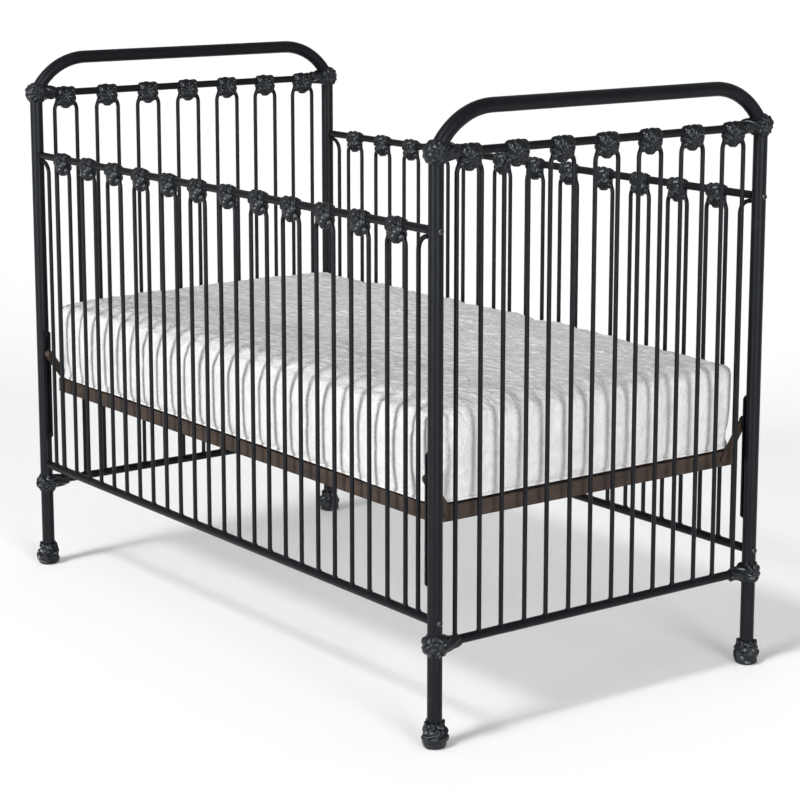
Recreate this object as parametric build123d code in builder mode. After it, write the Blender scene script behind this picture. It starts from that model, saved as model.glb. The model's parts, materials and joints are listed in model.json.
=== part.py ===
"""Wrought-iron style baby crib: two bowed ends, two fixed hairpin sides, a hanging spring
frame that sets at four heights, and a mattress.

Frame: origin on the floor under the middle of the crib, +X towards the foot end, +Y towards
the rear side, +Z up. All sizes are in millimetres."""

import os
from math import asin, atan2, degrees, hypot

from build123d import *

os.makedirs("parts", exist_ok=True)

# ---- Plan and heights ----
POST_X = 670.0  # post axes, from the middle along the crib
POST_Y = 360.5  # post axes, from the middle across the crib
CROSSBAR_Z = 988.7  # end crossbar, bar centre
SIDE_TOP_Z = 864.4  # side top rail, bar centre
SIDE_BOTTOM_Z = 215.6  # side bottom rail, bar centre
END_BOTTOM_Z = 176.0  # end bottom rail, bar centre

# ---- Tubes, bars and rods ----
TUBE_R = 12.7
TUBE_WALL = 1.6
TOP_BAR_R = 7.15
BOTTOM_BAR_R = 7.95
ROD_R = 4.0
BUTT_GAP = 0.3  # a bar stops this far short of the tube it is welded or bolted to

# ---- End bows ----
BOW_TOP_Z = 1059.5
BOW_BEND_R = 130.0
BOW_BEND_Y = 246.1  # centre of each bend, across the crib
BOW_START_Z = 998.0  # where the bow ends, inside its corner casting
POST_TOP_Z = 984.0
POST_BOTTOM_Z = 18.0
CROSSBAR_HALF = 342.5

# ---- Hairpin lattice ----
HAIRPIN_WIDTH = 50.8
END_PITCH, END_COUNT = 97.8, 7
SIDE_PITCH, SIDE_COUNT = 102.5, 12
END_SPINDLE_X = 624.0
KNUCKLE_R = 21.0
KNUCKLE_HALF_THICK = 14.5
KNUCKLE_ROUNDING = 10.0
KNUCKLE_DROP = 9.5  # knuckle centre below its bar's centre

# ---- Corner castings and feet ----
TOP_CASTING_Z = 990.0
TOP_CASTING_R = 21.7
TOP_CASTING_HALF = 18.0
TOP_CASTING_ROUNDING = 10.8
TOP_LOBE_REACH = 45.0
TOP_LOBE_R = 15.7
TOP_LOBE_TAPER = 8.0
BOTTOM_CASTING_Z = 174.0
BOTTOM_CASTING_R = 20.5
BOTTOM_CASTING_HEIGHT = 43.0
BOTTOM_CASTING_ROUNDING = 6.5
BOTTOM_LOBE_REACH = 49.0
BOTTOM_LOBE_R = 16.2
BOTTOM_LOBE_TAPER = 7.0
ROSETTE_R = 15.0
ROSETTE_PROUD = 23.0  # rosette face from the post axis
ROSETTE_TAPER = 30.0
FOOT_HEIGHT = 45.0
FOOT_BALL_R, FOOT_BALL_Z = 24.0, 19.0
FOOT_PAD_R = (FOOT_BALL_R**2 - FOOT_BALL_Z**2) ** 0.5  # where the ball meets the floor
FOOT_ANKLE_R = 16.5
FOOT_ANKLE_Z = FOOT_BALL_Z + (FOOT_BALL_R**2 - FOOT_ANKLE_R**2) ** 0.5

# ---- Side bolts ----
BOLT_R = 3.0
BOLT_BURIED = 25.0
BOLT_HEAD_R = 5.6
BOLT_HEAD_HEIGHT = 3.3
BOLT_HEAD_ROUNDING = 2.3
HEX_SOCKET_R = 2.2

# ---- Height strips and hanger studs ----
STRIP_WIDTH = 18.0
STRIP_THICK = 4.0
STRIP_CHAMFER = 5.0
STRIP_LOW_Z, STRIP_HIGH_Z = 272.0, 500.0
SLOT_WIDTH = 7.4
SLOT_MARGIN = 12.0
HANG_Z = 453.0  # stud height in the top notch
NOTCH_PITCH = 55.0
NOTCH_COUNT = 4
NOTCH_REACH = 3.3  # notch centre from the slot's centre line
NOTCH_PLAY = 0.4
STUD_R = 3.0
STUD_COLLAR_R = 5.5
STUD_HEAD_R = 7.0
STUD_HEAD_HEIGHT = 4.5
STUD_HEAD_ROUNDING = 3.6

# ---- Spring frame ----
FRAME_X, FRAME_Y = 645.0, 339.0  # outer faces of the angle rails
FRAME_TOP_Z = 400.0
ANGLE_LEG = 27.0
ANGLE_THICK = 3.0
ARM_THICK = 4.0
ARM_WIDTH = 16.0
ARM_LOW_Y, ARM_LOW_Z = 314.0, 386.5
WIRE_R = 1.6
WIRE_Z = 391.0
LONG_WIRES, LONG_WIRE_PITCH = 7, 84.0
CROSS_WIRES, CROSS_WIRE_PITCH = 11, 108.0
SPRING_R = 4.5
SPRING_LENGTH = 34.0
SPRING_HOOK = 7.0
SPRING_HOOK_R = 1.0

# ---- Mattress ----
MATTRESS_X, MATTRESS_Y = 644.0, 343.0
MATTRESS_THICK = 162.0
MATTRESS_CORNER_R = 20.0
MATTRESS_EDGE_R = 16.0
MATTRESS_LIFT = 0.4

ENDS = {"foot": 1, "head": -1}
SIDES = {"front": -1, "rear": 1}

bow_bend_z = BOW_TOP_Z - BOW_BEND_R
bow_start_angle = degrees(asin((BOW_START_Z - bow_bend_z) / BOW_BEND_R))
strip_face_x = POST_X - TUBE_R - STRIP_THICK
strip_mid_z = (STRIP_LOW_Z + STRIP_HIGH_Z) / 2


def spread(count, pitch):
    """Offsets of count points at one pitch, centred on zero."""
    return [(i - (count - 1) / 2) * pitch for i in range(count)]


def end_plane(x, y, z):
    """A plane that faces outwards along X, with its own Y upwards."""
    way = 1 if x > 0 else -1
    return Plane(origin=(x, y, z), x_dir=(0, way, 0), z_dir=(way, 0, 0))


def side_plane(x, y, z):
    """A plane that faces outwards along Y, with its own Y upwards."""
    way = 1 if y > 0 else -1
    return Plane(origin=(x, y, z), x_dir=(-way, 0, 0), z_dir=(0, way, 0))


def save(piece, name):
    """Labels a finished sub-part and writes it."""
    piece.part.label = name
    export_step(piece.part, f"parts/{name}.step")


# ---- Posts, bows and bars ----


def make_post(x, y):
    with BuildPart() as post:
        with BuildSketch(Plane(origin=(x, y, POST_BOTTOM_Z))):
            Circle(TUBE_R)
            Circle(TUBE_R - TUBE_WALL, mode=Mode.SUBTRACT)
        extrude(amount=POST_TOP_Z - POST_BOTTOM_Z)
        for z in (SIDE_TOP_Z, SIDE_BOTTOM_Z):
            with BuildSketch(end_plane(x, y, z)):
                Circle(BOLT_R)
            extrude(amount=TUBE_R + 1, both=True, mode=Mode.SUBTRACT)
    return post


def make_bow(x, bore_r):
    """The bent tube over one end. With no bore it is the solid that its castings are cut by."""
    with BuildPart() as bow:
        with BuildLine(end_plane(x, 0, 0)) as path:
            sweep_angle = 90 - bow_start_angle
            CenterArc((BOW_BEND_Y, bow_bend_z), BOW_BEND_R, bow_start_angle, sweep_angle)
            Line((BOW_BEND_Y, BOW_TOP_Z), (-BOW_BEND_Y, BOW_TOP_Z))
            CenterArc((-BOW_BEND_Y, bow_bend_z), BOW_BEND_R, 90, sweep_angle)
        route = path.wires()[0]
        with BuildSketch(Plane(origin=route @ 0, z_dir=route % 0)):
            Circle(TUBE_R)
            if bore_r:
                Circle(bore_r, mode=Mode.SUBTRACT)
        sweep(path=route)
    return bow


def make_bar(plane, bar_r, half_length, tapped=False):
    """A round bar along the plane's normal, with a tapped hole in each end if it is bolted."""
    with BuildPart() as bar:
        with BuildSketch(plane):
            Circle(bar_r)
        extrude(amount=half_length, both=True)
        if tapped:
            for end in (-1, 1):
                with BuildSketch(plane.offset(end * half_length)):
                    Circle(BOLT_R)
                extrude(amount=-end * BOLT_BURIED, mode=Mode.SUBTRACT)
    return bar


# ---- Hairpin lattice ----


def make_spindles(plane, bar_r, leg_end):
    """The two straight legs of one hairpin. The plane stands on the bar's centre, Y upwards."""
    bend_z = -(bar_r + ROD_R) - HAIRPIN_WIDTH / 2
    foot = plane.origin + plane.y_dir * leg_end
    with BuildPart() as spindles:
        with BuildSketch(Plane(origin=foot, x_dir=plane.x_dir, z_dir=plane.y_dir)):
            with Locations((-HAIRPIN_WIDTH / 2, 0), (HAIRPIN_WIDTH / 2, 0)):
                Circle(ROD_R)
        extrude(amount=bend_z - leg_end)
    return spindles


def make_hairpin_bend(plane, bar_r):
    """The half ring that joins a hairpin's legs under its bar."""
    bend_z = -(bar_r + ROD_R) - HAIRPIN_WIDTH / 2
    with BuildPart() as bend:
        with BuildLine(plane) as path:
            CenterArc((0, bend_z), HAIRPIN_WIDTH / 2, 180, -180)
        route = path.wires()[0]
        with BuildSketch(Plane(origin=route @ 0, z_dir=route % 0)):
            Circle(ROD_R)
        sweep(path=route)
    return bend


def make_end_spindle(y, x_way):
    """Half a hairpin: a rod that bends over to the post beside it."""
    bend_z = SIDE_TOP_Z - TOP_BAR_R - ROD_R - HAIRPIN_WIDTH / 2
    with BuildPart() as spindle:
        with BuildLine(Plane(origin=(0, y, 0), x_dir=(x_way, 0, 0), z_dir=(0, -x_way, 0))) as path:
            Line((END_SPINDLE_X, SIDE_BOTTOM_Z + BOTTOM_BAR_R), (END_SPINDLE_X, bend_z))
            CenterArc((END_SPINDLE_X + HAIRPIN_WIDTH / 2, bend_z), HAIRPIN_WIDTH / 2, 180, -90)
        route = path.wires()[0]
        with BuildSketch(Plane(origin=route @ 0, z_dir=route % 0)):
            Circle(ROD_R)
        sweep(path=route)
    return spindle


def make_knuckle(plane, bar_r, bend):
    """The casting that grips a bar and the bend of the hairpin under it."""
    with BuildPart() as knuckle:
        with BuildSketch(plane):
            with Locations((0, -KNUCKLE_DROP)):
                Circle(KNUCKLE_R)
        extrude(amount=KNUCKLE_HALF_THICK, both=True)
        fillet(knuckle.edges().filter_by(GeomType.CIRCLE), KNUCKLE_ROUNDING)
        with BuildSketch(Plane(origin=plane.origin, z_dir=plane.x_dir)):
            Circle(bar_r)
        extrude(amount=KNUCKLE_R * 2, both=True, mode=Mode.SUBTRACT)
        add(bend.part, mode=Mode.SUBTRACT)
    return knuckle


def copy_along(piece, direction, offsets):
    """One node of equal solids, set out along a direction."""
    with BuildPart() as group:
        with Locations(*[direction * offset for offset in offsets]):
            add(piece.part)
    return group


def save_row(panel, plane, spindles, direction, offsets):
    """Writes one panel's hairpins, as straight legs and bends, and its knuckles."""
    bend = make_hairpin_bend(plane, TOP_BAR_R)
    knuckle = make_knuckle(plane, TOP_BAR_R, bend)
    for piece, name in ((spindles, "spindles"), (bend, "hairpin_bends"), (knuckle, "knuckles")):
        save(copy_along(piece, direction, offsets), f"{panel}_{name}")


# ---- Castings and feet ----


def make_top_casting(x, y, bow_core):
    x_way, y_way = x / abs(x), y / abs(y)
    with BuildPart() as casting:
        with BuildSketch(end_plane(x, y, TOP_CASTING_Z)):
            Circle(TOP_CASTING_R)
        extrude(amount=TOP_CASTING_HALF, both=True)
        fillet(casting.edges().filter_by(GeomType.CIRCLE), TOP_CASTING_ROUNDING)
        with BuildSketch(Plane(origin=(x, y - y_way * TUBE_R, CROSSBAR_Z), z_dir=(0, -y_way, 0))):
            Circle(TOP_LOBE_R)
        extrude(amount=TOP_LOBE_REACH - TUBE_R, taper=TOP_LOBE_TAPER)
        with BuildSketch(end_plane(x + x_way * TOP_CASTING_HALF, y, TOP_CASTING_Z)):
            Circle(ROSETTE_R)
        extrude(amount=ROSETTE_PROUD - TOP_CASTING_HALF, taper=ROSETTE_TAPER)
        with BuildSketch(Plane(origin=(x, y, TOP_CASTING_Z - 2 * TOP_CASTING_R))):
            Circle(TUBE_R)
        extrude(amount=POST_TOP_Z - TOP_CASTING_Z + 2 * TOP_CASTING_R, mode=Mode.SUBTRACT)
        with BuildSketch(Plane(origin=(x, y_way * CROSSBAR_HALF, CROSSBAR_Z), z_dir=(0, -y_way, 0))):
            Circle(TOP_BAR_R)
        extrude(amount=TOP_LOBE_REACH, mode=Mode.SUBTRACT)
        add(bow_core.part, mode=Mode.SUBTRACT)
    return casting


def make_bottom_casting(x, y):
    y_way = y / abs(y)
    outer_leg_y = y_way * (spread(END_COUNT, END_PITCH)[-1] + HAIRPIN_WIDTH / 2)
    with BuildPart() as casting:
        with BuildSketch(Plane(origin=(x, y, BOTTOM_CASTING_Z))):
            Circle(BOTTOM_CASTING_R)
        extrude(amount=BOTTOM_CASTING_HEIGHT / 2, both=True)
        fillet(casting.edges().filter_by(GeomType.CIRCLE), BOTTOM_CASTING_ROUNDING)
        with BuildSketch(Plane(origin=(x, y - y_way * TUBE_R, END_BOTTOM_Z), z_dir=(0, -y_way, 0))):
            Circle(BOTTOM_LOBE_R)
        extrude(amount=BOTTOM_LOBE_REACH - TUBE_R, taper=BOTTOM_LOBE_TAPER)
        with BuildSketch(end_plane(x, y, BOTTOM_CASTING_Z)):
            Circle(ROSETTE_R)
        extrude(amount=ROSETTE_PROUD)
        with BuildSketch(Plane(origin=(x, y, BOTTOM_CASTING_Z))):
            Circle(TUBE_R)
        extrude(amount=BOTTOM_CASTING_HEIGHT, both=True, mode=Mode.SUBTRACT)
        bar_end = y - y_way * (TUBE_R + BUTT_GAP)
        with BuildSketch(Plane(origin=(x, bar_end, END_BOTTOM_Z), z_dir=(0, -y_way, 0))):
            Circle(BOTTOM_BAR_R)
        extrude(amount=BOTTOM_LOBE_REACH, mode=Mode.SUBTRACT)
        with BuildSketch(Plane(origin=(x, outer_leg_y, END_BOTTOM_Z))):
            Circle(ROD_R)
        extrude(amount=BOTTOM_CASTING_HEIGHT, mode=Mode.SUBTRACT)
    return casting


def make_foot(x, y):
    with BuildPart() as foot:
        with BuildSketch(Plane(origin=(x, y, 0), x_dir=(1, 0, 0), z_dir=(0, -1, 0))):
            with BuildLine():
                Line((0, 0), (FOOT_PAD_R, 0))
                ThreePointArc((FOOT_PAD_R, 0), (FOOT_BALL_R, FOOT_BALL_Z), (FOOT_ANKLE_R, FOOT_ANKLE_Z))
                Line((FOOT_ANKLE_R, FOOT_ANKLE_Z), (FOOT_ANKLE_R, FOOT_HEIGHT))
                Line((FOOT_ANKLE_R, FOOT_HEIGHT), (0, FOOT_HEIGHT))
                Line((0, FOOT_HEIGHT), (0, 0))
            make_face()
        revolve(axis=Axis((x, y, 0), (0, 0, 1)))
        with BuildSketch(Plane(origin=(x, y, POST_BOTTOM_Z))):
            Circle(TUBE_R)
        extrude(amount=FOOT_HEIGHT, mode=Mode.SUBTRACT)
    return foot


# ---- Bolts, strips and hanger studs ----


def make_bolt(x, y, z):
    """A button-head bolt that passes through a post into the end of a side rail."""
    x_way = x / abs(x)
    with BuildPart() as bolt:
        with BuildSketch(end_plane(x + x_way * TUBE_R, y, z)):
            Circle(BOLT_HEAD_R)
        extrude(amount=BOLT_HEAD_HEIGHT)
        fillet(bolt.edges().group_by(Axis.X)[-1 if x_way > 0 else 0], BOLT_HEAD_ROUNDING)
        with BuildSketch(end_plane(x + x_way * (TUBE_R + BOLT_HEAD_HEIGHT), y, z)):
            RegularPolygon(HEX_SOCKET_R, 6)
        extrude(amount=-BOLT_HEAD_HEIGHT / 2, mode=Mode.SUBTRACT)
        with BuildSketch(end_plane(x + x_way * TUBE_R, y, z)):
            Circle(BOLT_R)
        extrude(amount=-(2 * TUBE_R + BUTT_GAP + BOLT_BURIED))
    return bolt


def make_strip(x_way, y):
    """A slotted height strip on a post's inner face. Each notch is one mattress height."""
    notch_heights = [HANG_Z - i * NOTCH_PITCH - strip_mid_z for i in range(NOTCH_COUNT)]
    slot_low = STRIP_LOW_Z + SLOT_MARGIN - strip_mid_z
    slot_high = STRIP_HIGH_Z - SLOT_MARGIN - strip_mid_z
    with BuildPart() as strip:
        with BuildSketch(end_plane(x_way * strip_face_x, y, strip_mid_z)):
            outline = Rectangle(STRIP_WIDTH, STRIP_HIGH_Z - STRIP_LOW_Z)
            chamfer(outline.vertices(), STRIP_CHAMFER)
            with Locations((0, (slot_low + slot_high) / 2)):
                SlotOverall(slot_high - slot_low, SLOT_WIDTH, rotation=90, mode=Mode.SUBTRACT)
            with Locations(*[(NOTCH_REACH, z) for z in notch_heights]):
                Circle(STUD_R + NOTCH_PLAY, mode=Mode.SUBTRACT)
        extrude(amount=STRIP_THICK)
    return strip


def make_stud(x_way, y):
    """The headed stud that hangs an arm in its strip."""
    arm_outer_x = FRAME_X + ARM_THICK
    with BuildPart() as stud:
        with BuildSketch(end_plane(x_way * arm_outer_x, y, HANG_Z)):
            Circle(STUD_COLLAR_R)
        extrude(amount=strip_face_x - BUTT_GAP - arm_outer_x)
        with BuildSketch(end_plane(x_way * FRAME_X, y, HANG_Z)):
            Circle(STUD_R)
        extrude(amount=POST_X - TUBE_R - BUTT_GAP - FRAME_X)
        with BuildSketch(end_plane(x_way * FRAME_X, y, HANG_Z)):
            Circle(STUD_HEAD_R)
        extrude(amount=-STUD_HEAD_HEIGHT)
        fillet(stud.edges().group_by(Axis.X)[0 if x_way > 0 else -1], STUD_HEAD_ROUNDING)
    return stud


# ---- Spring frame ----


def make_arm(x_way, y_way):
    """A flat bar that rises from the end rail to the strip on the post."""
    rise = HANG_Z - ARM_LOW_Z
    run = POST_Y - ARM_LOW_Y
    middle = ((POST_Y + ARM_LOW_Y) / 2 * x_way * y_way, (HANG_Z + ARM_LOW_Z) / 2)
    tilt = degrees(atan2(rise, run * x_way * y_way))
    with BuildPart() as arm:
        with BuildSketch(end_plane(x_way * FRAME_X, 0, 0)):
            with Locations(middle):
                SlotCenterToCenter(hypot(rise, run), ARM_WIDTH, rotation=tilt)
            with Locations((POST_Y * x_way * y_way, HANG_Z)):
                Circle(STUD_R, mode=Mode.SUBTRACT)
        extrude(amount=ARM_THICK)
    return arm


def make_long_rail(y_way):
    """An angle rail along the crib: a face that hangs down and a ledge that turns inwards."""
    top_corner = (0, y_way * FRAME_Y, FRAME_TOP_Z)
    with BuildPart() as rail:
        with BuildSketch(Plane(origin=top_corner, z_dir=(1, 0, 0), x_dir=(0, 1, 0))):
            with Locations((-y_way * ANGLE_THICK / 2, -ANGLE_LEG / 2)):
                Rectangle(ANGLE_THICK, ANGLE_LEG)
            with Locations((-y_way * ANGLE_LEG / 2, -ANGLE_THICK / 2)):
                Rectangle(ANGLE_LEG, ANGLE_THICK)
        extrude(amount=FRAME_X, both=True)
    return rail


def make_short_rail(x_way):
    """An angle rail across the crib. Its ledge stops at the long rails' ledges."""
    face_mid_x = x_way * (FRAME_X - ANGLE_THICK / 2)
    ledge_mid_x = x_way * (FRAME_X - ANGLE_LEG / 2)
    with BuildPart() as rail:
        with BuildSketch(Plane.XY.offset(FRAME_TOP_Z - ANGLE_LEG)):
            with Locations((face_mid_x, 0)):
                Rectangle(ANGLE_THICK, 2 * (FRAME_Y - ANGLE_THICK))
        extrude(amount=ANGLE_LEG - ANGLE_THICK)
        with BuildSketch(Plane.XY.offset(FRAME_TOP_Z - ANGLE_THICK)):
            with Locations((ledge_mid_x, 0)):
                Rectangle(ANGLE_LEG, 2 * (FRAME_Y - ANGLE_LEG))
        extrude(amount=ANGLE_THICK)
    return rail


def make_spring(plane):
    """A helical spring as its outer envelope, with a hook shank at each end."""
    with BuildPart() as spring:
        with BuildSketch(plane):
            Circle(SPRING_R)
        extrude(amount=SPRING_LENGTH / 2, both=True)
        with BuildSketch(plane):
            Circle(SPRING_HOOK_R)
        extrude(amount=SPRING_LENGTH / 2 + SPRING_HOOK, both=True)
    return spring


def make_mattress():
    with BuildPart() as mattress:
        with BuildSketch(Plane.XY.offset(FRAME_TOP_Z + MATTRESS_LIFT)):
            RectangleRounded(2 * MATTRESS_X, 2 * MATTRESS_Y, MATTRESS_CORNER_R)
        extrude(amount=MATTRESS_THICK)
        rims = mattress.edges().group_by(Axis.Z)
        fillet(rims[0] + rims[-1], MATTRESS_EDGE_R)
    return mattress


# ---- The two ends ----

for end, x_way in ENDS.items():
    x = x_way * POST_X
    save(make_bow(x, TUBE_R - TUBE_WALL), f"{end}_bow")
    bow_core = make_bow(x, 0)
    crossbar = make_bar(Plane(origin=(x, 0, CROSSBAR_Z), z_dir=(0, 1, 0)), TOP_BAR_R, CROSSBAR_HALF)
    save(crossbar, f"{end}_crossbar")
    bar_half = POST_Y - TUBE_R - BUTT_GAP
    bar_plane = Plane(origin=(x, 0, END_BOTTOM_Z), z_dir=(0, 1, 0))
    save(make_bar(bar_plane, BOTTOM_BAR_R, bar_half), f"{end}_bottom_rail")

    plane = end_plane(x, 0, CROSSBAR_Z)
    spindles = make_spindles(plane, TOP_BAR_R, END_BOTTOM_Z + BOTTOM_BAR_R - CROSSBAR_Z)
    save_row(end, plane, spindles, Vector(0, 1, 0), spread(END_COUNT, END_PITCH))

    for side, y_way in SIDES.items():
        y = y_way * POST_Y
        save(make_post(x, y), f"{end}_{side}_post")
        save(make_top_casting(x, y, bow_core), f"{end}_{side}_top_casting")
        save(make_bottom_casting(x, y), f"{end}_{side}_bottom_casting")
        save(make_foot(x, y), f"{end}_{side}_foot")
        save(make_strip(x_way, y), f"{end}_{side}_height_strip")
        save(make_arm(x_way, y_way), f"{end}_{side}_hanger_arm")
    save(make_short_rail(x_way), f"support_{end}_rail")

# ---- The two sides ----

for side, y_way in SIDES.items():
    y = y_way * POST_Y
    rail_half = POST_X - TUBE_R - BUTT_GAP
    for level, z, bar_r in (("top", SIDE_TOP_Z, TOP_BAR_R), ("bottom", SIDE_BOTTOM_Z, BOTTOM_BAR_R)):
        rail = make_bar(Plane(origin=(0, y, z), z_dir=(1, 0, 0)), bar_r, rail_half, tapped=True)
        save(rail, f"{side}_{level}_rail")

    plane = side_plane(0, y, SIDE_TOP_Z)
    spindles = make_spindles(plane, TOP_BAR_R, SIDE_BOTTOM_Z + BOTTOM_BAR_R - SIDE_TOP_Z)
    save_row(side, plane, spindles, Vector(1, 0, 0), spread(SIDE_COUNT, SIDE_PITCH))
    with BuildPart() as end_spindles:
        for x_way in ENDS.values():
            add(make_end_spindle(y, x_way).part)
    save(end_spindles, f"{side}_end_spindles")
    save(make_long_rail(y_way), f"support_{side}_rail")

# ---- Fasteners ----

with BuildPart() as side_bolts:
    for x_way in ENDS.values():
        for y_way in SIDES.values():
            for z in (SIDE_TOP_Z, SIDE_BOTTOM_Z):
                add(make_bolt(x_way * POST_X, y_way * POST_Y, z).part)
save(side_bolts, "side_bolts")

with BuildPart() as hanger_studs:
    for x_way in ENDS.values():
        for y_way in SIDES.values():
            add(make_stud(x_way, y_way * POST_Y).part)
save(hanger_studs, "hanger_studs")

# ---- Spring mesh ----

ledge_x = FRAME_X - ANGLE_LEG
ledge_y = FRAME_Y - ANGLE_LEG
long_half = ledge_x - SPRING_LENGTH - SPRING_HOOK
cross_half = ledge_y - SPRING_LENGTH - SPRING_HOOK
long_wire = make_bar(Plane(origin=(0, 0, WIRE_Z), z_dir=(1, 0, 0)), WIRE_R, long_half)
cross_wire = make_bar(Plane(origin=(0, 0, WIRE_Z - 2 * WIRE_R), z_dir=(0, 1, 0)), WIRE_R, cross_half)
save(copy_along(long_wire, Vector(0, 1, 0), spread(LONG_WIRES, LONG_WIRE_PITCH)), "mesh_long_wires")
save(copy_along(cross_wire, Vector(1, 0, 0), spread(CROSS_WIRES, CROSS_WIRE_PITCH)), "mesh_cross_wires")

spring_mid_x = long_half + SPRING_HOOK + SPRING_LENGTH / 2
spring_mid_y = cross_half + SPRING_HOOK + SPRING_LENGTH / 2
with BuildPart() as springs:
    for way in (-1, 1):
        end_spring = make_spring(Plane(origin=(way * spring_mid_x, 0, WIRE_Z), z_dir=(1, 0, 0)))
        with Locations(*[(0, y, 0) for y in spread(LONG_WIRES, LONG_WIRE_PITCH)]):
            add(end_spring.part)
        low_z = WIRE_Z - 2 * WIRE_R
        side_spring = make_spring(Plane(origin=(0, way * spring_mid_y, low_z), z_dir=(0, 1, 0)))
        with Locations(*[(x, 0, 0) for x in spread(CROSS_WIRES, CROSS_WIRE_PITCH)]):
            add(side_spring.part)
save(springs, "mesh_springs")

save(make_mattress(), "mattress")
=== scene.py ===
"""Looks of the iron baby crib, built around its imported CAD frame.

The tubes, bars and rods are the CAD nodes with procedural paint. The castings, feet, springs and
mattress are modelled here, each where its CAD node says. Lengths are in metres."""

import json
import math
import random

import bmesh
import bpy
import numpy as np
from mathutils import Matrix, Vector
from mathutils.bvhtree import BVHTree


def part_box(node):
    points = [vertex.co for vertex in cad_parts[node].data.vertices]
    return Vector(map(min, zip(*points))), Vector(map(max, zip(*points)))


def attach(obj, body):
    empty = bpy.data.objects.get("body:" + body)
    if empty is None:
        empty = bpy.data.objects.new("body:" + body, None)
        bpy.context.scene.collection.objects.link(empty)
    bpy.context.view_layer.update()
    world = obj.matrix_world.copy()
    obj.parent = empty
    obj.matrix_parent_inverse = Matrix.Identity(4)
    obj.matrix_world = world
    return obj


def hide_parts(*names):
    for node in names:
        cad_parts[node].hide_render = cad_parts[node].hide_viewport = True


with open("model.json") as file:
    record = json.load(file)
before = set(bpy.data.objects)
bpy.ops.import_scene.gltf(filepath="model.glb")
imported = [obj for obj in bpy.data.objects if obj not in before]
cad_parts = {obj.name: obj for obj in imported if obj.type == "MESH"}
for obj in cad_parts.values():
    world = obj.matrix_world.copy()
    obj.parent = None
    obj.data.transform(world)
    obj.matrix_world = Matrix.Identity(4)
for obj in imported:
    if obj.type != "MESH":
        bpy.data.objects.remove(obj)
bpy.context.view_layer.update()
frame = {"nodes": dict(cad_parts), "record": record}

MM = 0.001
ENDS = {"foot": 1, "head": -1}
SIDES = {"front": -1, "rear": 1}
scene = bpy.context.scene


# ---- Mesh helpers ----


def to_object(name, mesh_data):
    """An object from a bmesh, which is freed."""
    mesh = bpy.data.meshes.new(name)
    mesh_data.to_mesh(mesh)
    mesh_data.free()
    piece = bpy.data.objects.new(name, mesh)
    scene.collection.objects.link(piece)
    return piece


def apply_modifiers(piece):
    """Replaces a piece's mesh by what its modifiers make of it."""
    bpy.context.view_layer.update()
    graph = bpy.context.evaluated_depsgraph_get()
    made = bpy.data.meshes.new_from_object(piece.evaluated_get(graph))
    piece.modifiers.clear()
    old = piece.data
    piece.data = made
    bpy.data.meshes.remove(old)
    return piece


def shade_smooth(piece):
    piece.data.polygons.foreach_set("use_smooth", [True] * len(piece.data.polygons))
    piece.data.update()


def add_blob(mesh_data, centre, semi_axes, turn=Matrix.Identity(3), detail=3):
    """An ellipsoid with its semi-axes along the columns of turn."""
    size = Matrix.Diagonal(Vector(semi_axes)).to_4x4()
    place = Matrix.Translation(Vector(centre)) @ turn.to_4x4() @ size
    bmesh.ops.create_icosphere(mesh_data, subdivisions=detail, radius=1.0, matrix=place)


def join_copies(name, source, places):
    """One object of many placed copies of a mesh, in the frame's coordinates."""
    co = np.empty(len(source.vertices) * 3)
    source.vertices.foreach_get("co", co)
    co = co.reshape(-1, 3)
    faces = [tuple(p.vertices) for p in source.polygons]
    points, polygons = [], []
    for place in places:
        m = np.array(place)
        start = sum(len(p) for p in points)
        points.append(co @ m[:3, :3].T + m[:3, 3])
        flipped = np.linalg.det(m[:3, :3]) < 0
        for face in faces:
            shifted = tuple(i + start for i in face)
            polygons.append(shifted[::-1] if flipped else shifted)
    mesh = bpy.data.meshes.new(name)
    mesh.from_pydata(np.concatenate(points).tolist(), [], polygons)
    piece = bpy.data.objects.new(name, mesh)
    scene.collection.objects.link(piece)
    shade_smooth(piece)
    return piece


def tube_along(mesh_data, points, radius, sides=8):
    """A round wire that follows points, with closed ends."""
    points = [Vector(p) for p in points]
    rings, normal = [], None
    for i, point in enumerate(points):
        ahead = (points[min(i + 1, len(points) - 1)] - points[max(i - 1, 0)]).normalized()
        if normal is None:
            normal = ahead.orthogonal().normalized()
        normal = (normal - ahead * normal.dot(ahead)).normalized()
        across = ahead.cross(normal)
        ring = []
        for k in range(sides):
            a = 2 * math.pi * k / sides
            out = math.cos(a) * normal + math.sin(a) * across
            ring.append(mesh_data.verts.new(point + radius * out))
        rings.append(ring)
    for low, high in zip(rings, rings[1:]):
        for k in range(sides):
            j = (k + 1) % sides
            mesh_data.faces.new((low[k], low[j], high[j], high[k]))
    mesh_data.faces.new(rings[0][::-1])
    mesh_data.faces.new(rings[-1])


# ---- Materials ----


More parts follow.
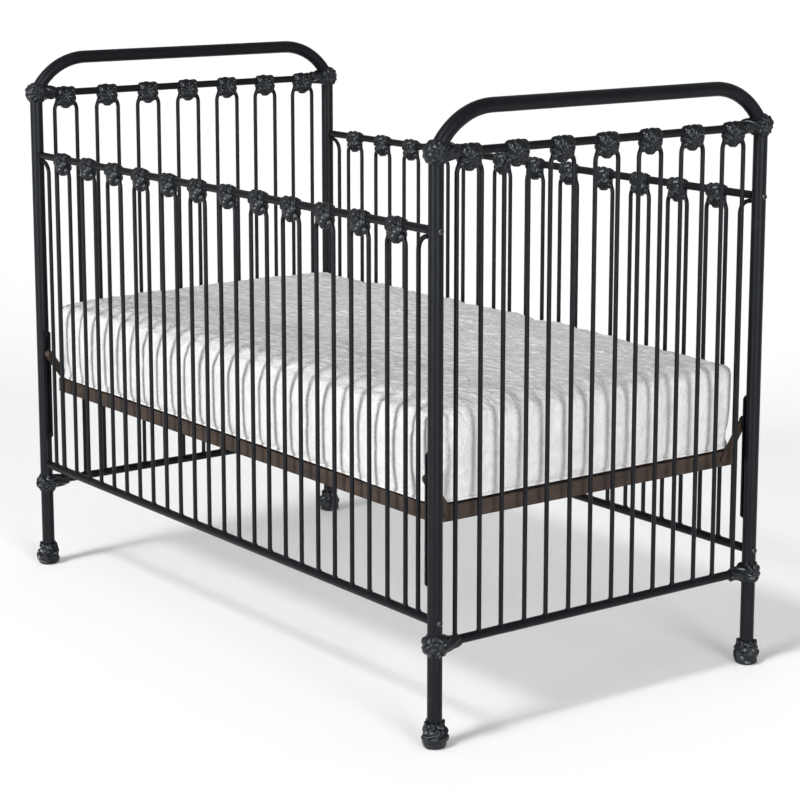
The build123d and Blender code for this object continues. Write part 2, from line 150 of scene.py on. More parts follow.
class Shader:
    """A principled material with short calls for its node tree."""

    def __init__(self, name, **uniform):
        self.material = bpy.data.materials.new(name)
        self.material.use_nodes = True
        self.nodes = self.material.node_tree.nodes
        self.links = self.material.node_tree.links
        self.bsdf = self.nodes["Principled BSDF"]
        for socket, value in uniform.items():
            self.bsdf.inputs[socket.replace("_", " ")].default_value = value
        self.where = self.nodes.new("ShaderNodeTexCoord").outputs["Object"]

    def link(self, a, b):
        self.links.new(a, b)

    def stretched(self, scale):
        node = self.nodes.new("ShaderNodeMapping")
        node.inputs["Scale"].default_value = scale
        self.link(self.where, node.inputs["Vector"])
        return node.outputs["Vector"]

    def noise(self, scale, detail=3.0, rough=0.5, at=None, distort=0.0):
        node = self.nodes.new("ShaderNodeTexNoise")
        node.inputs["Scale"].default_value = scale
        node.inputs["Detail"].default_value = detail
        node.inputs["Roughness"].default_value = rough
        node.inputs["Distortion"].default_value = distort
        self.link(at or self.where, node.inputs["Vector"])
        return node.outputs["Fac"]

    def wave(self, scale, direction, distort=0.0):
        node = self.nodes.new("ShaderNodeTexWave")
        node.bands_direction = direction
        node.inputs["Scale"].default_value = scale
        node.inputs["Distortion"].default_value = distort
        self.link(self.where, node.inputs["Vector"])
        return node.outputs["Fac"]

    def ramp(self, factor, stops):
        node = self.nodes.new("ShaderNodeValToRGB")
        while len(node.color_ramp.elements) < len(stops):
            node.color_ramp.elements.new(0.5)
        for element, (place, colour) in zip(node.color_ramp.elements, stops):
            element.position = place
            element.color = (*colour, 1.0) if len(colour) == 3 else colour
        self.link(factor, node.inputs["Fac"])
        return node.outputs["Color"]

    def math(self, kind, a, b):
        node = self.nodes.new("ShaderNodeMath")
        node.operation = kind
        for socket, value in zip(node.inputs, (a, b)):
            if isinstance(value, (int, float)):
                socket.default_value = value
            else:
                self.link(value, socket)
        return node.outputs["Value"]

    def span(self, factor, low, high):
        node = self.nodes.new("ShaderNodeMapRange")
        node.inputs["To Min"].default_value = low
        node.inputs["To Max"].default_value = high
        self.link(factor, node.inputs["Value"])
        return node.outputs["Result"]

    def bump(self, height, distance, strength=1.0, under=None):
        node = self.nodes.new("ShaderNodeBump")
        node.inputs["Strength"].default_value = strength
        node.inputs["Distance"].default_value = distance
        self.link(height, node.inputs["Height"])
        if under:
            self.link(under, node.inputs["Normal"])
        return node.outputs["Normal"]

    def set(self, socket, output):
        self.link(output, self.bsdf.inputs[socket])


def black_paint():
    """Matte powder coat: fine orange peel, faint blotches of sheen and a few paler rubs."""
    s = Shader("black_powder_coat", Metallic=0.0, IOR=1.5, Specular_IOR_Level=0.13,
               Specular_Tint=(0.86, 0.93, 1.0, 1.0))
    rubs = s.noise(38.0, 6.0, 0.65)
    s.set("Base Color", s.ramp(rubs, [(0.35, (0.0026, 0.0028, 0.0035)), (0.62, (0.004, 0.0043, 0.0054)),
                                      (0.8, (0.009, 0.0096, 0.012))]))
    s.set("Roughness", s.span(s.noise(90.0, 4.0), 0.32, 0.41))
    peel = s.bump(s.noise(1500.0, 2.0), 0.00012, 0.6)
    s.set("Normal", s.bump(s.noise(240.0, 3.0), 0.0002, 0.35, peel))
    return s.material


def cast_paint():
    """The same paint over rough castings: pitted, shinier than on the tubes, with patches of more and less
    shine.
    """
    s = Shader("black_paint_on_castings", Metallic=0.0, IOR=1.5, Specular_IOR_Level=0.3,
               Specular_Tint=(0.86, 0.93, 1.0, 1.0))
    s.set("Base Color", s.ramp(s.noise(120.0, 5.0, 0.6), [(0.3, (0.0025, 0.0027, 0.0033)),
                                                         (0.75, (0.006, 0.0064, 0.0078))]))
    s.set("Roughness", s.span(s.noise(220.0, 4.0), 0.25, 0.38))
    grain = s.bump(s.noise(1100.0, 3.0), 0.00012, 0.5)
    s.set("Normal", s.bump(s.noise(330.0, 4.0, 0.5), 0.0003, 0.4, grain))
    return s.material


def brown_paint():
    """Dark brown dipped paint on the angle iron, with runs, scuffs and a dusty bloom."""
    s = Shader("brown_dipped_paint", Metallic=0.0, IOR=1.45, Specular_IOR_Level=0.4)
    streaks = s.noise(9.0, 6.0, 0.62, at=s.stretched((1.0, 1.0, 6.0)), distort=0.4)
    s.set("Base Color", s.ramp(streaks, [(0.3, (0.016, 0.0095, 0.0065)), (0.55, (0.03, 0.018, 0.012)),
                                         (0.78, (0.052, 0.03, 0.02))]))
    s.set("Roughness", s.span(s.noise(60.0, 5.0), 0.42, 0.7))
    s.set("Normal", s.bump(s.noise(420.0, 4.0), 0.00025, 0.6))
    return s.material


def wire_steel():
    """Bright drawn wire with dull patches."""
    s = Shader("drawn_wire", Metallic=1.0, IOR=2.5)
    s.set("Base Color", s.ramp(s.noise(70.0, 5.0), [(0.3, (0.24, 0.235, 0.23)), (0.7, (0.46, 0.455, 0.45))]))
    s.set("Roughness", s.span(s.noise(260.0, 4.0), 0.26, 0.5))
    s.set("Normal", s.bump(s.noise(900.0, 2.0, at=s.stretched((0.15, 0.15, 1.0))), 0.0001, 0.5))
    return s.material


def bolt_steel():
    """Black oxide screws, shinier than the paint round them."""
    s = Shader("black_oxide", Metallic=0.7, IOR=1.8)
    s.set("Base Color", s.ramp(s.noise(400.0, 4.0), [(0.3, (0.02, 0.02, 0.022)), (0.7, (0.05, 0.05, 0.054))]))
    s.set("Roughness", s.span(s.noise(600.0, 3.0), 0.25, 0.42))
    s.set("Normal", s.bump(s.noise(1600.0, 2.0), 0.0001, 0.5))
    return s.material


def cover_cloth():
    """White sateen mattress cover: a fine weave, crinkles, and faint shade in the creases."""
    s = Shader("white_sateen", Metallic=0.0, IOR=1.45, Specular_IOR_Level=0.3,
               Sheen_Weight=0.15, Sheen_Roughness=0.4)
    crinkle = s.noise(34.0, 5.0, 0.6, distort=1.0)
    # Base colour follows the crinkle relief, darker where it is low: painted shade in the creases.
    s.set("Base Color", s.ramp(crinkle, [(0.3, (0.43, 0.43, 0.432)), (0.5, (0.48, 0.479, 0.479)),
                                         (0.7, (0.52, 0.518, 0.516))]))
    s.set("Roughness", s.span(s.noise(30.0, 3.0), 0.38, 0.55))
    threads = s.math("MULTIPLY", s.wave(620.0, "X", 1.0), s.wave(620.0, "Y", 1.0))
    threads = s.math("ADD", threads, s.math("MULTIPLY", s.wave(620.0, "Z", 1.0), 0.7))
    weave = s.bump(threads, 0.0001, 0.4)
    creases = s.math("ABSOLUTE", s.math("SUBTRACT", s.noise(58.0, 3.0, 0.5, distort=0.6), 0.5), 0.0)
    fold = s.bump(creases, 0.009, 0.6, weave)
    s.set("Normal", s.bump(crinkle, 0.005, 0.6, fold))
    return s.material


def tape_cloth():
    """Ribbed binding tape on the cover's seams."""
    s = Shader("white_binding_tape", Metallic=0.0, IOR=1.45, Specular_IOR_Level=0.3, Sheen_Weight=0.3)
    s.set("Base Color", s.ramp(s.noise(260.0, 4.0), [(0.3, (0.5, 0.49, 0.48)), (0.7, (0.62, 0.615, 0.61))]))
    s.set("Roughness", s.span(s.noise(90.0, 3.0), 0.55, 0.75))
    ribs = s.math("ADD", s.wave(330.0, "X"), s.wave(330.0, "Y"))
    s.set("Normal", s.bump(ribs, 0.0003, 0.6))
    return s.material


MATERIALS = {
    "black_paint": black_paint(),
    "cast_iron_paint": cast_paint(),
    "frame_paint": brown_paint(),
    "spring_wire": wire_steel(),
    "bolt_finish": bolt_steel(),
    "mattress_cover": cover_cloth(),
}
TAPE = tape_cloth()


def paint(piece, material):
    piece.data.materials.clear()
    piece.data.materials.append(material)


def paint_cad_nodes():
    """Every CAD node takes the material of its slot in the record."""
    for entry in frame["record"]["subparts"]:
        node = frame["nodes"][entry["node"]]
        material = MATERIALS[entry["material_slot"]]
        if not node.data.materials:
            node.data.materials.append(material)
        for slot in node.material_slots:
            slot.link = "OBJECT"
            slot.material = material


# ---- Castings ----


def leaf(turn, count, lean=0.6):
    """Relief of leaves round a turn: each swells quickly, falls slowly and ends in a groove."""
    share = (turn * count / math.tau) % 1.0
    return math.sin(math.pi * share**lean)


def ease(value, low, high):
    share = min(1.0, max(0.0, (value - low) / (high - low)))
    return share * share * (3 - 2 * share)


def add_turned(mesh_data, profile, relief, place=Matrix.Identity(4), rows=48, columns=96):
    """A closed body turned about local Z. Relief moves its skin along the profile's normal.

    Profile gives (radius, height) for a share 0 to 1, with no radius at either end."""

    def skin(share, turn):
        (r0, z0), (r1, z1) = profile(max(0.0, share - 0.004)), profile(min(1.0, share + 0.004))
        dr, dz = r1 - r0, z1 - z0
        size = math.hypot(dr, dz) or 1.0
        radius, height = profile(share)
        depth = relief(share, turn)
        radius = max(0.0, radius - depth * dz / size)
        height += depth * dr / size
        return place @ Vector((radius * math.cos(turn), radius * math.sin(turn), height))

    turns = [math.tau * k / columns for k in range(columns)]
    rings = [[mesh_data.verts.new(skin(i / rows, turn)) for turn in turns] for i in range(1, rows)]
    low, high = mesh_data.verts.new(skin(0.0, 0.0)), mesh_data.verts.new(skin(1.0, 0.0))
    for k in range(columns):
        j = (k + 1) % columns
        mesh_data.faces.new((low, rings[0][k], rings[0][j]))
        mesh_data.faces.new((high, rings[-1][j], rings[-1][k]))
        for near, far in zip(rings, rings[1:]):
            mesh_data.faces.new((near[k], far[k], far[j], near[j]))


def smooth_line(points):
    """A profile of straight runs through (share, radius, height) points, in millimetres."""

    def profile(share):
        for (s0, r0, z0), (s1, r1, z1) in zip(points, points[1:]):
            if share <= s1:
                t = (share - s0) / (s1 - s0)
                return (r0 + (r1 - r0) * t) * MM, (z0 + (z1 - z0) * t) * MM
        return points[-1][1] * MM, points[-1][2] * MM

    return profile


def squat_ball(radius, half, boxiness=0.82):
    """Profile of a ball flattened along local Z, from its front pole to its back pole."""

    def profile(share):
        angle = math.pi * share
        c = math.cos(angle)
        height = half * math.copysign(abs(c) ** boxiness, c)
        return (radius * math.sin(angle) ** boxiness * MM, height * MM)

    return profile


def rose(count, twist, depth, seed, rim_count=8):
    """Relief of leaves that swirl out of a bud on each face, with broader leaves round the rim."""
    rng = random.Random(seed)
    lift = [rng.uniform(0.7, 1.2) for _ in range(count)]

    def relief(share, turn):
        out = math.sin(math.pi * share)
        swirled = turn + twist * math.pi * share
        which = int(swirled * count // math.tau)
        face = ease(out, 0.12, 0.42) * (1 - ease(out, 0.86, 0.95))
        rim = ease(out, 0.88, 0.97)
        petals = depth * lift[which % count] * leaf(swirled, count) * face
        rim_leaf = depth * 0.9 * rim * leaf(turn - 1.6 * share, rim_count, 0.8)
        bud = 2.4 * (1 - ease(out, 0.1, 0.3)) * (1 if share < 0.5 else 0.3)
        return (petals + rim_leaf + bud - 0.35 * depth) * MM

    return relief


def mesh_of(name, mesh_data):
    """Turns a bmesh into a mesh that belongs to no object."""
    piece = to_object(name, mesh_data)
    mesh = piece.data
    bpy.data.objects.remove(piece)
    return mesh


def rib(count, depth, twist=0.0):
    """Relief of even leaves, in millimetres of depth."""
    return lambda share, turn: depth * leaf(turn + twist * share, count) * MM


KNUCKLE_DROP = 9.0 * MM
COLLAR_AT, CLAW_AT, CLAW_DROP, DROP_BEAD_AT = 14.5 * MM, 16.5 * MM, 19.5 * MM, 27.0 * MM


def make_knuckle_mesh(seed):
    """One knuckle in its own frame: X along the bar, Y up, Z out of the panel, bar at the origin."""
    cast = bmesh.new()
    down = Matrix.Rotation(math.pi / 2, 4, "X")
    lean = Matrix.Rotation(math.radians(14), 4, "X") @ Matrix.Rotation(math.radians(-10), 4, "Y")
    ball = Matrix.Translation((0, -KNUCKLE_DROP, 0)) @ lean
    add_turned(cast, squat_ball(20.4, 14.6), rose(7, 0.5, 3.9, seed, 6), ball, 40, 84)
    for way in (-1, 1):
        collar = Matrix.Translation((way * COLLAR_AT, 0.3 * MM, 0))
        collar = collar @ Matrix.Rotation(way * math.pi / 2, 4, "Y")
        add_turned(cast, squat_ball(10.6, 7.5), rib(6, 1.3, 2), collar, 14, 48)
        claw = Matrix.Translation((way * CLAW_AT, -CLAW_DROP, 0)) @ Matrix.Rotation(way * 0.5, 4, "Z") @ down
        add_turned(cast, squat_ball(6.3, 7.4), rib(5, 0.9), claw, 12, 40)
    bead = Matrix.Translation((0, -DROP_BEAD_AT, 0)) @ down
    add_turned(cast, squat_ball(8.5, 5.5), rib(5, 0.8, 1), bead, 14, 44)
    return mesh_of("knuckle", cast)


def add_lobe(cast, points, leaves, depth, sag):
    """A leafy sleeve along local X. Sag pulls its underside down towards the post."""

    def relief(share, turn):
        taper = ease(share, 0.02, 0.12) * (1 - ease(share, 0.93, 1.0))
        under = max(0.0, math.cos(turn)) ** 2
        web = sag * under * (1 - ease(share, 0.15, 0.92))
        return (depth * taper * leaf(turn + 1.9 * share, leaves) + web - 0.3 * depth) * MM

    along_x = Matrix.Rotation(math.pi / 2, 4, "Y")
    add_turned(cast, smooth_line(points), relief, along_x, 44, 84)


def make_top_corner_mesh(seed):
    """A top casting: X inwards along the crossbar, Y up, Z out of the end, post at the origin."""
    cast = bmesh.new()
    add_turned(cast, squat_ball(20.6, 18.5), rose(11, 0.3, 2.9, seed))
    add_lobe(cast, [(0, 0, 4), (0.08, 14, 6), (0.45, 15.2, 24), (0.8, 13.2, 39), (0.93, 10.6, 45.5),
                    (1, 0, 46.5)], 7, 2.6, 2.0)
    return mesh_of("top_corner", cast)


def make_bottom_corner_mesh(seed):
    """A bottom casting: X inwards along the rail, Y up, Z out of the end, post at the origin."""
    cast = bmesh.new()
    add_turned(cast, squat_ball(20.6, 19.5, 0.9), rose(7, -0.6, 4.2, seed, 6))
    add_lobe(cast, [(0, 0, 4), (0.08, 15, 6), (0.4, 15.8, 22), (0.62, 12.8, 33), (0.9, 11.2, 49),
                    (1, 0, 51)], 6, 2.4, 9.5)
    return mesh_of("bottom_corner", cast)


def make_foot_mesh(seed):
    """A cast foot of leaves folded round a ball. Local Z is up from the floor."""
    points = [(0, 0, 0), (0.1, 14.5, 0), (0.2, 20.0, 3), (0.34, 24.2, 11), (0.46, 25.2, 19), (0.58, 23.4, 27),
              (0.68, 20.0, 33), (0.8, 18.6, 39), (0.9, 18.2, 45), (0.95, 15.0, 46), (1, 0, 38)]
    rng = random.Random(seed)
    bulge_at = rng.uniform(0, math.tau)

    def relief(share, turn):
        low = ease(share, 0.14, 0.3) * (1 - ease(share, 0.5, 0.6))
        middle = ease(share, 0.46, 0.56) * (1 - ease(share, 0.66, 0.74))
        collar = ease(share, 0.66, 0.76) * (1 - ease(share, 0.93, 1.0))
        depth = 5.4 * low * leaf(turn + 1.8 * share, 5, 0.5)
        depth += 5.8 * middle * leaf(turn - 1.6 * share + 0.5, 5, 1.5)
        depth += 5.0 * collar * leaf(turn + 1.2 * share, 6, 0.7) * (0.4 + share)
        depth += 1.6 * low * (1 + math.cos(turn - bulge_at)) / 2
        return (depth - 1.0) * MM

    cast = bmesh.new()
    add_turned(cast, smooth_line(points), relief, rows=64, columns=110)
    for vertex in cast.verts:
        vertex.co.z = max(vertex.co.z, 0.0)
    return mesh_of("foot", cast)


def facing(normal, along, at):
    """A place with local Z along normal, local X along the bar and Y up, as a matrix."""
    turn = Matrix((Vector(along), Vector((0, 0, 1)), Vector(normal))).transposed()
    return Matrix.Translation(Vector(at)) @ turn.to_4x4()


def centre_of(node):
    low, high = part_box(node)
    return (low + high) / 2


def finish_piece(piece, slot, body, *nodes, material=None):
    """Paints a new piece, hides the CAD nodes it stands for and makes it ride."""
    paint(piece, material or MATERIALS[slot])
    if nodes:
        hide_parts(*nodes)
    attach(piece, body)
    return piece


END_PITCH, END_COUNT = 97.8 * MM, 7  # hairpins across an end
SIDE_PITCH, SIDE_COUNT = 102.5 * MM, 12  # hairpins along a side
HAIRPIN_HALF = 25.4 * MM
END_SPINDLE_X = 624 * MM
TOP_CASTING_Z, BOTTOM_CASTING_Z = 990 * MM, 174.5 * MM


def spread(count, pitch):
    """Places of count things at one pitch, evenly about zero."""
    return [(i - (count - 1) / 2) * pitch for i in range(count)]


def build_castings():
    """The cast knuckles, corner rosettes and feet, each in place of its CAD node."""
    knuckles = [make_knuckle_mesh(seed) for seed in (3, 8)]
    for end, way in ENDS.items():
        bar = centre_of(f"{end}_crossbar")
        places = [facing((way, 0, 0), (0, way, 0), (bar.x, y, bar.z)) for y in spread(END_COUNT, END_PITCH)]
        piece = join_copies(f"{end}_cast_knuckles", knuckles[0], places)
        finish_piece(piece, "cast_iron_paint", "frame", f"{end}_knuckles")
    for side, way in SIDES.items():
        bar = centre_of(f"{side}_top_rail")
        places = [facing((0, way, 0), (-way, 0, 0), (x, bar.y, bar.z))
                  for x in spread(SIDE_COUNT, SIDE_PITCH)]
        piece = join_copies(f"{side}_cast_knuckles", knuckles[1], places)
        finish_piece(piece, "cast_iron_paint", "frame", f"{side}_knuckles")

    corners = (("top", make_top_corner_mesh(5), TOP_CASTING_Z),
               ("bottom", make_bottom_corner_mesh(2), BOTTOM_CASTING_Z))
    foot = make_foot_mesh(11)
    for end, x_way in ENDS.items():
        for side, y_way in SIDES.items():
            name = f"{end}_{side}"
            post = centre_of(f"{name}_post")
            for level, mesh, z in corners:
                place = facing((x_way, 0, 0), (0, -y_way, 0), (post.x, post.y, z))
                piece = join_copies(f"{name}_{level}_rosette", mesh, [place])
                finish_piece(piece, "cast_iron_paint", "frame", f"{name}_{level}_casting")
            turn = Matrix.Rotation(math.atan2(y_way, x_way), 4, "Z")
            piece = join_copies(f"{name}_leaf_foot", foot, [Matrix.Translation((post.x, post.y, 0)) @ turn])
            finish_piece(piece, "cast_iron_paint", "frame", f"{name}_foot")


# ---- Welds ----


BEAD_SIZE = (5.6 * MM, 5.6 * MM, 2.1 * MM)
BEAD_SINK = 0.2 * MM


def build_welds():
    """A bead where each rod stands on its rail."""
    bead = bmesh.new()
    add_blob(bead, (0, 0, 0), BEAD_SIZE, detail=2)
    source = to_object("bead_source", bead)
    places = []
    rng = random.Random(7)

    def put(x, y, z):
        turn = Matrix.Rotation(rng.uniform(0, math.tau), 4, "Z")
        size = Matrix.Diagonal((rng.uniform(0.9, 1.1), rng.uniform(0.9, 1.1), rng.uniform(0.8, 1.2), 1))
        places.append(Matrix.Translation((x, y, z)) @ turn @ size)

    for end in ENDS:
        low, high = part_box(f"{end}_bottom_rail")
        for y in spread(END_COUNT, END_PITCH):
            for leg in (-HAIRPIN_HALF, HAIRPIN_HALF):
                put((low.x + high.x) / 2, y + leg, high.z - BEAD_SINK)
    for side in SIDES:
        low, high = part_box(f"{side}_bottom_rail")
        mid_y = (low.y + high.y) / 2
        for x in spread(SIDE_COUNT, SIDE_PITCH):
            for leg in (-HAIRPIN_HALF, HAIRPIN_HALF):
                put(x + leg, mid_y, high.z - BEAD_SINK)
        for way in (-1, 1):
            put(way * END_SPINDLE_X, mid_y, high.z - BEAD_SINK)
    piece = join_copies("rod_weld_beads", source.data, places)
    bpy.data.objects.remove(source)
    finish_piece(piece, "black_paint", "frame")


# ---- Springs of the mesh ----


LONG_WIRES, LONG_WIRE_PITCH = 7, 84 * MM
CROSS_WIRES, CROSS_WIRE_PITCH = 11, 108 * MM
COIL_STEPS = 14  # points to a turn


def build_springs():
    """Coiled wires in place of the springs' envelopes, each with its two hooks."""
    coil_r, wire_r, turns, length, hook = 3.7 * MM, 0.8 * MM, 11, 34 * MM, 7 * MM
    spring = bmesh.new()
    points = [(0, 0, -length / 2 - hook), (0, 0, -length / 2 - 0.6 * hook)]
    steps = turns * COIL_STEPS
    for i in range(steps + 1):
        share = i / steps
        angle = math.tau * turns * share
        radius = coil_r * min(1.0, share * turns, (1 - share) * turns)
        points.append((radius * math.cos(angle), radius * math.sin(angle), (share - 0.5) * length))
    points += [(0, 0, length / 2 + 0.6 * hook), (0, 0, length / 2 + hook)]
    tube_along(spring, points, wire_r, 6)
    source = to_object("spring_source", spring)
    wires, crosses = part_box("mesh_long_wires"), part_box("mesh_cross_wires")
    mid_x = wires[1].x + hook + length / 2
    mid_y = crosses[1].y + hook + length / 2
    long_z, cross_z = centre_of("mesh_long_wires").z, centre_of("mesh_cross_wires").z
    lie_x = Matrix.Rotation(math.pi / 2, 4, "Y")
    lie_y = Matrix.Rotation(math.pi / 2, 4, "X")
    places = []
    for way in (-1, 1):
        places += [Matrix.Translation((way * mid_x, y, long_z)) @ lie_x
                   for y in spread(LONG_WIRES, LONG_WIRE_PITCH)]
        places += [Matrix.Translation((x, way * mid_y, cross_z)) @ lie_y
                   for x in spread(CROSS_WIRES, CROSS_WIRE_PITCH)]
    piece = join_copies("mesh_coil_springs", source.data, places)
    bpy.data.objects.remove(source)
    finish_piece(piece, "spring_wire", "mattress_support", "mesh_springs")


# ---- Mattress ----


def rounded_block(low, high, corner_r, top_r, bottom_r, shrink):
    """A closed block with rounded upright corners and rims, a little inside its box."""
    low, high = low + Vector((shrink,) * 3), high - Vector((shrink,) * 3)
    centre = (low + high) / 2
    half = (high - low) / 2
    outline = []
    for quarter, (sx, sy) in enumerate(((1, 1), (-1, 1), (-1, -1), (1, -1))):
        mid = Vector((sx * (half.x - corner_r), sy * (half.y - corner_r)))
        for i in range(13):
            angle = math.pi / 2 * (quarter + i / 12)
            outline.append((mid, Vector((math.cos(angle), math.sin(angle)))))
    levels = []
    for rim_r, way in ((bottom_r, -1), (top_r, 1)):
        for i in range(9):
            angle = math.pi / 2 * (i / 8 if way > 0 else 1 - i / 8)
            levels.append((rim_r * (1 - math.cos(angle)), way * (half.z - rim_r * (1 - math.sin(angle)))))
    block = bmesh.new()
    rings = []
    for inset, z in levels:
        rings.append([block.verts.new((centre.x + m.x + d.x * (corner_r - inset),
                                       centre.y + m.y + d.y * (corner_r - inset), centre.z + z))
                      for m, d in outline])
    count = len(outline)
    for a, b in zip(rings, rings[1:]):
        for k in range(count):
            j = (k + 1) % count
            block.faces.new((a[k], a[j], b[j], b[k]))
    block.faces.new(rings[0][::-1])
    block.faces.new(rings[-1])
    return block


def vectors_of(piece, what="co"):
    """A piece's vertices, or their normals, as rows of an array."""
    values = np.empty(len(piece.data.vertices) * 3)
    piece.data.vertices.foreach_get(what, values)
    return values.reshape(-1, 3)


def move_vertices(piece, places):
    piece.data.vertices.foreach_set("co", places.ravel())
    piece.data.update()


COVER_VOXEL, COVER_HELD, COVER_MOST = 5.5 * MM, 9 * MM, 6 * MM
COVER_FRAMES = 20


def drape_cover(piece, low):
    """Lets the cover puff and wrinkle by cloth simulation. Its lowest edge is held."""
    rest = vectors_of(piece)
    held = piece.vertex_groups.new(name="held")
    held.add([i for i, point in enumerate(rest) if point[2] < low.z + COVER_HELD], 1.0, "REPLACE")
    cloth = piece.modifiers.new("cover", "CLOTH")
    settings = cloth.settings
    settings.quality = 5
    settings.mass = 0.25
    settings.tension_stiffness = settings.compression_stiffness = 22
    settings.shear_stiffness = 8
    settings.bending_stiffness = 0.6
    settings.air_damping = 4
    settings.use_pressure = True
    settings.uniform_pressure_force = 4.0
    settings.shrink_min = -0.025
    settings.effector_weights.gravity = 0.0
    settings.vertex_group_mass = "held"
    cloth.collision_settings.use_collision = False
    cloth.collision_settings.use_self_collision = False
    scene.frame_start, scene.frame_end = 1, COVER_FRAMES
    cloth.point_cache.frame_start, cloth.point_cache.frame_end = 1, COVER_FRAMES
    for step in range(1, COVER_FRAMES + 1):
        scene.frame_set(step)
    apply_modifiers(piece)
    shift = vectors_of(piece) - rest
    size = np.linalg.norm(shift, axis=1, keepdims=True)
    shift *= COVER_MOST * np.tanh(size / COVER_MOST) / np.maximum(size, 1e-9)
    move_vertices(piece, rest + shift)
    piece.vertex_groups.clear()
    scene.frame_set(1)


def wave_field(points, wavelength, seed, count=22, stretch=(1, 1, 1)):
    """Smooth random relief of about unit height, from waves that run in all directions."""
    rng = np.random.default_rng(seed)
    total = np.zeros(len(points))
    for _ in range(count):
        way = rng.normal(size=3)
        way = way / np.linalg.norm(way) * np.array(stretch)
        pitch = math.tau / (wavelength * rng.uniform(0.7, 1.5))
        total += np.sin(points @ way * pitch + rng.uniform(0, math.tau))
    return total * math.sqrt(2 / count)


def ridges(field, width=0.35):
    """Narrow raised creases where a random relief crosses zero."""
    return np.exp(-((field / width) ** 2))


GATHER_REACH, GATHER_PITCH = 38 * MM, 27 * MM
CROWN, BULGE, GATHER_DEPTH = 7.0, 3.5, 1.9  # millimetres


def press_wrinkles(piece, low, high):
    """Crowns the block, with upright folds on its sides, crinkles on top and gathered upper edges."""
    co, normal = vectors_of(piece), vectors_of(piece, "normal")
    middle = np.array((low + high) / 2)
    half = np.array((high - low) / 2)
    part = np.clip((co - middle) / half, -1, 1)
    side = np.clip(1.15 - 1.7 * np.abs(normal[:, 2]), 0, 1)
    top = np.clip(normal[:, 2] * 1.6 - 0.6, 0, 1)
    crown = (1 - part[:, 0] ** 4) * (1 - part[:, 1] ** 4)
    depth = CROWN * top * crown
    level = np.clip((part[:, 2] + 1) / 2, 0, 1)
    ends = (1 - part[:, 0] ** 8) * (1 - part[:, 1] ** 8)
    depth += BULGE * side * np.sin(np.pi * level) * (0.25 + 0.75 * np.clip(ends * 4, 0, 1))
    folds = wave_field(co, 0.052, 1, stretch=(1, 1, 0.16))
    pleats = wave_field(co, 0.024, 2, stretch=(1, 1, 0.1))
    slants = ridges(wave_field(co, 0.16, 3, stretch=(1, 1, 0.7)), 0.12)
    depth += side * (1.0 * folds + 0.5 * pleats * (0.4 + level) - 1.5 * slants)
    swell = wave_field(co, 0.11, 4)
    crinkle = ridges(wave_field(co, 0.07, 5), 0.16) + ridges(wave_field(co, 0.05, 6), 0.14)
    depth += top * (1.0 * swell + 1.5 * crinkle + 0.5 * wave_field(co, 0.026, 7))
    inset = half - np.abs(co - middle)
    gathers = np.zeros(len(co))
    for across, along in ((1, 0), (0, 1)):
        near = np.exp(-((inset[:, across] / GATHER_REACH) ** 2))
        run = [1.0 if axis == along else 0.0 for axis in range(3)]
        gathers += near * ridges(wave_field(co, GATHER_PITCH, 8 + along, stretch=run), 0.4)
    depth -= GATHER_DEPTH * gathers * np.exp(-(((high.z - co[:, 2]) / GATHER_REACH) ** 2))
    co += normal * depth[:, None] * MM
    co[:, 2] = np.maximum(co[:, 2], low.z + 0.2 * MM)
    move_vertices(piece, co)


def seam_loop(piece, low, high, height, radius, name):
    """A piped seam round the mattress at one height, laid on the cover's own surface."""
    graph = bpy.context.evaluated_depsgraph_get()
    tree = BVHTree.FromObject(piece, graph)
    centre = (low + high) / 2
    loop = bmesh.new()
    points = []
    steps = 420
    half = (high - low) / 2
    for i in range(steps):
        angle = math.tau * i / steps
        out = Vector((math.cos(angle), math.sin(angle), 0))
        reach = 1.2 / max(abs(out.x) / half.x, abs(out.y) / half.y)
        hit, normal, _, _ = tree.ray_cast(centre.xy.to_3d() + out * reach + Vector((0, 0, height)), -out)
        if hit is not None:
            points.append(hit + Vector((normal.x, normal.y, 0)).normalized() * radius * 0.35)
    smooth = []
    for i in range(len(points)):
        smooth.append((points[i - 1] + points[i] * 2 + points[(i + 1) % len(points)]) / 4)
    sides = 8
    rings = []
    for i, point in enumerate(smooth):
        ahead = (smooth[(i + 1) % len(smooth)] - smooth[i - 1]).normalized()
        across = ahead.cross(Vector((0, 0, 1))).normalized()
        ring = []
        for k in range(sides):
            angle = math.tau * k / sides
            out = math.cos(angle) * across + math.sin(angle) * Vector((0, 0, 1))
            ring.append(loop.verts.new(point + radius * out))
        rings.append(ring)
    for i in range(len(rings)):
        a, b = rings[i], rings[(i + 1) % len(rings)]
        for k in range(sides):
            j = (k + 1) % sides
            loop.faces.new((a[k], b[k], b[j], a[j]))
    seam = to_object(name, loop)
    shade_smooth(seam)
    return seam


CORNER_R, TOP_EDGE_R, BOTTOM_EDGE_R, COVER_SHRINK = 22 * MM, 13 * MM, 8 * MM, 2.5 * MM
PIPING_R, PIPING_HEIGHT = 2.2 * MM, 6 * MM


def build_mattress():
    """The padded mattress and the piping round its lower edge, in place of the plain CAD block."""
    low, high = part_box("mattress")
    block = rounded_block(low, high, CORNER_R, TOP_EDGE_R, BOTTOM_EDGE_R, COVER_SHRINK)
    piece = to_object("mattress_cover", block)
    remesh = piece.modifiers.new("even", "REMESH")
    remesh.mode = "VOXEL"
    remesh.voxel_size = COVER_VOXEL
    apply_modifiers(piece)
    drape_cover(piece, low)
    divide = piece.modifiers.new("fine", "SUBSURF")
    divide.levels = divide.render_levels = 1
    apply_modifiers(piece)
    press_wrinkles(piece, low, high)
    shade_smooth(piece)
    finish_piece(piece, "mattress_cover", "mattress", "mattress")
    seam = seam_loop(piece, low, high, low.z + PIPING_HEIGHT, PIPING_R, "mattress_lower_piping")
    finish_piece(seam, "mattress_cover", "mattress", material=TAPE)


# ---- Stage ----

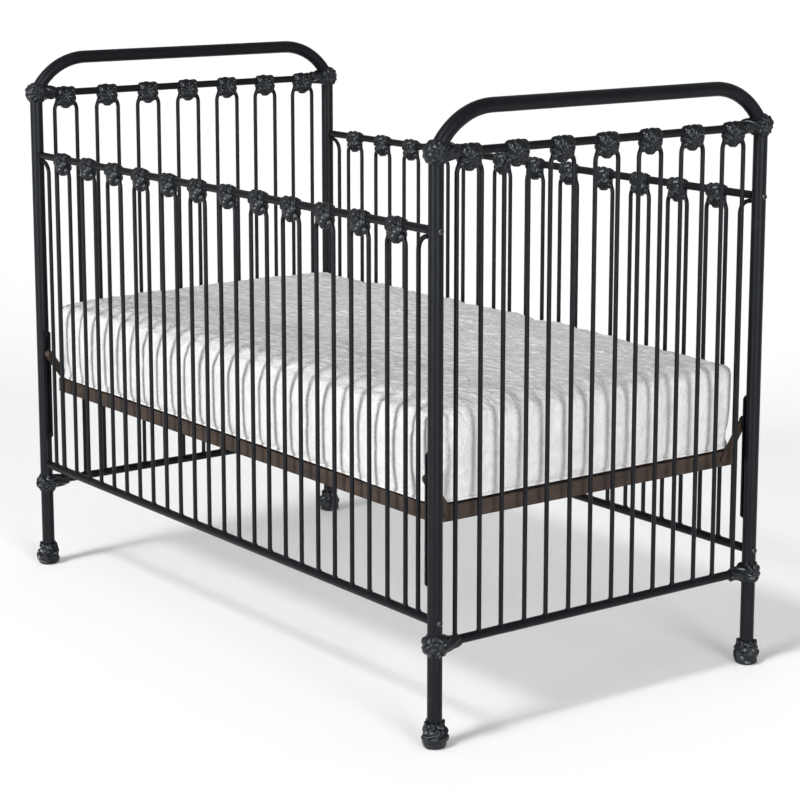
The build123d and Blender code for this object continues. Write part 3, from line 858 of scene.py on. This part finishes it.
CAM_AT = (3.607, -2.609, 1.4057)
CAM_YAW, CAM_PITCH = 53.45, 10.50
CAM_LENS, CAM_SHIFT = 105.5, -0.1


def add_sun(name, towards, strength, spread_degrees):
    """A distant softbox in the direction towards, that gives a face square to it this brightness."""
    data = bpy.data.lights.new(name, "SUN")
    data.energy = strength * math.pi
    data.angle = math.radians(spread_degrees)
    lamp = bpy.data.objects.new(name, data)
    scene.collection.objects.link(lamp)
    lamp.rotation_mode = "QUATERNION"
    lamp.rotation_quaternion = Vector(towards).to_track_quat("Z", "Y")
    return lamp


FLOOR_REACH, FLOOR_COLOUR, WORLD_STRENGTH = 30.0, (0.93, 0.93, 0.93, 1), 0.42


def build_stage():
    """A plain pale floor, soft lights and the camera."""
    floor_mesh = bmesh.new()
    bmesh.ops.create_grid(floor_mesh, x_segments=1, y_segments=1, size=FLOOR_REACH)
    floor = to_object("studio_floor", floor_mesh)
    s = Shader("pale_floor", Base_Color=FLOOR_COLOUR, Roughness=0.8, Specular_IOR_Level=0.1)
    floor.data.materials.append(s.material)

    world = bpy.data.worlds.new("studio_world")
    world.use_nodes = True
    world.node_tree.nodes["Background"].inputs["Color"].default_value = (1, 1, 1, 1)
    world.node_tree.nodes["Background"].inputs["Strength"].default_value = WORLD_STRENGTH
    scene.world = world

    add_sun("overhead_box", (0.08, -0.7, 1.0), 0.38, 9)
    add_sun("front_box", (0.1, -0.98, 0.15), 1.4, 28)
    add_sun("end_box", (0.97, -0.2, 0.15), 1.15, 26)

    data = bpy.data.cameras.new("camera")
    camera = bpy.data.objects.new("camera", data)
    scene.collection.objects.link(camera)
    yaw, pitch = math.radians(CAM_YAW), math.radians(CAM_PITCH)
    camera.location = CAM_AT
    camera.rotation_euler = (math.pi / 2 - pitch, 0, yaw)
    data.sensor_width = 36.0
    data.lens = CAM_LENS
    data.shift_y = CAM_SHIFT
    data.clip_end = 100
    scene.camera = camera
    scene.view_settings.view_transform = "Standard"


paint_cad_nodes()
build_castings()
build_welds()
build_springs()
build_mattress()
build_stage()
